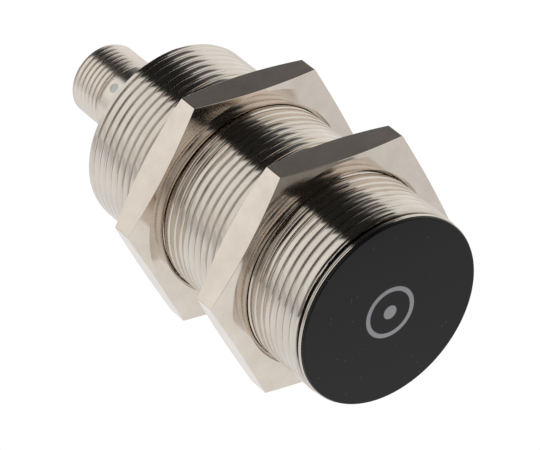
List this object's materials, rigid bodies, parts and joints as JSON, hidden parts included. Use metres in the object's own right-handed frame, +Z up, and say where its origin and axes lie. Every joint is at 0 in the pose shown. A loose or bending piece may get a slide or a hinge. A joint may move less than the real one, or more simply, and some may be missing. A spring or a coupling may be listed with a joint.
{
  "type": "inductive proximity sensor",
  "caption": "Cylindrical threaded-barrel inductive proximity sensor with a flat black sensing face, two hexagonal mounting nuts and a round threaded plug connector.",
  "frame": {"origin": "centre of the flat sensing face", "axes": "+X out of the sensing face along the barrel axis, +Z up, square to the lower flats of the nuts that the sensor lies on, +Y to the left when looking along +X"},
  "size_m": [0.0712, 0.0416, 0.036],
  "materials": {
    "nickel_plated_brass": "satin nickel plating",
    "nut_plating": "bright nickel plating",
    "black_plastic": "fine satin moulding",
    "seal_rubber": "smooth nitrile rubber",
    "ferrite": "sintered, ground faces",
    "bobbin_plastic": "natural moulding",
    "copper_wire": "enamelled copper",
    "shield_brass": "bare rolled brass",
    "board_laminate": "green solder mask",
    "chip_plastic": "moulded epoxy",
    "capacitor_ceramic": "fired ceramic with tinned ends",
    "resistor_ceramic": "glazed ceramic with tinned ends",
    "capacitor_case": "moulded epoxy",
    "trimmer_plastic": "moulded case with a slotless rotor",
    "led_resin": "clear tinted resin",
    "clear_plastic": "translucent moulding",
    "carrier_plastic": "glass-filled moulding",
    "gold_plating": "gold plated",
    "wire_insulation": "extruded insulation",
    "potting": "cast epoxy resin"
  },
  "bodies": {
    "sensor_body": {"threaded_barrel": "nickel_plated_brass", "sensing_cap": "black_plastic", "cap_seal_ring": "seal_rubber", "ferrite_core": "ferrite", "coil_bobbin": "bobbin_plastic", "coil_winding": "copper_wire", "coil_leads": "copper_wire", "shield_sleeve": "shield_brass", "circuit_board": "board_laminate", "oscillator_chip": "chip_plastic", "output_transistor": "chip_plastic", "protection_diode": "chip_plastic", "chip_capacitors": "capacitor_ceramic", "chip_resistors": "resistor_ceramic", "storage_capacitor": "capacitor_case", "trimming_resistor": "trimmer_plastic", "status_leds": "led_resin", "light_guide": "clear_plastic", "connector_shell": "nickel_plated_brass", "shell_seal_ring": "seal_rubber", "contact_carrier": "carrier_plastic", "contact_pin_supply": "gold_plating", "contact_pin_output_closed": "gold_plating", "contact_pin_ground": "gold_plating", "contact_pin_output_open": "gold_plating", "connector_wires": "wire_insulation", "potting_resin": "potting"},
    "front_nut_body": {"front_nut": "nut_plating"},
    "rear_nut_body": {"rear_nut": "nut_plating"}
  },
  "joints": [
    {"name": "front_nut_travel", "type": "slide", "parent": "sensor_body", "child": "front_nut_body", "axis": [1, 0, 0], "range_m": [-0.007, 0.0098]},
    {"name": "rear_nut_travel", "type": "slide", "parent": "sensor_body", "child": "rear_nut_body", "axis": [1, 0, 0], "range_m": [-0.014, 0.0072]}
  ]
}
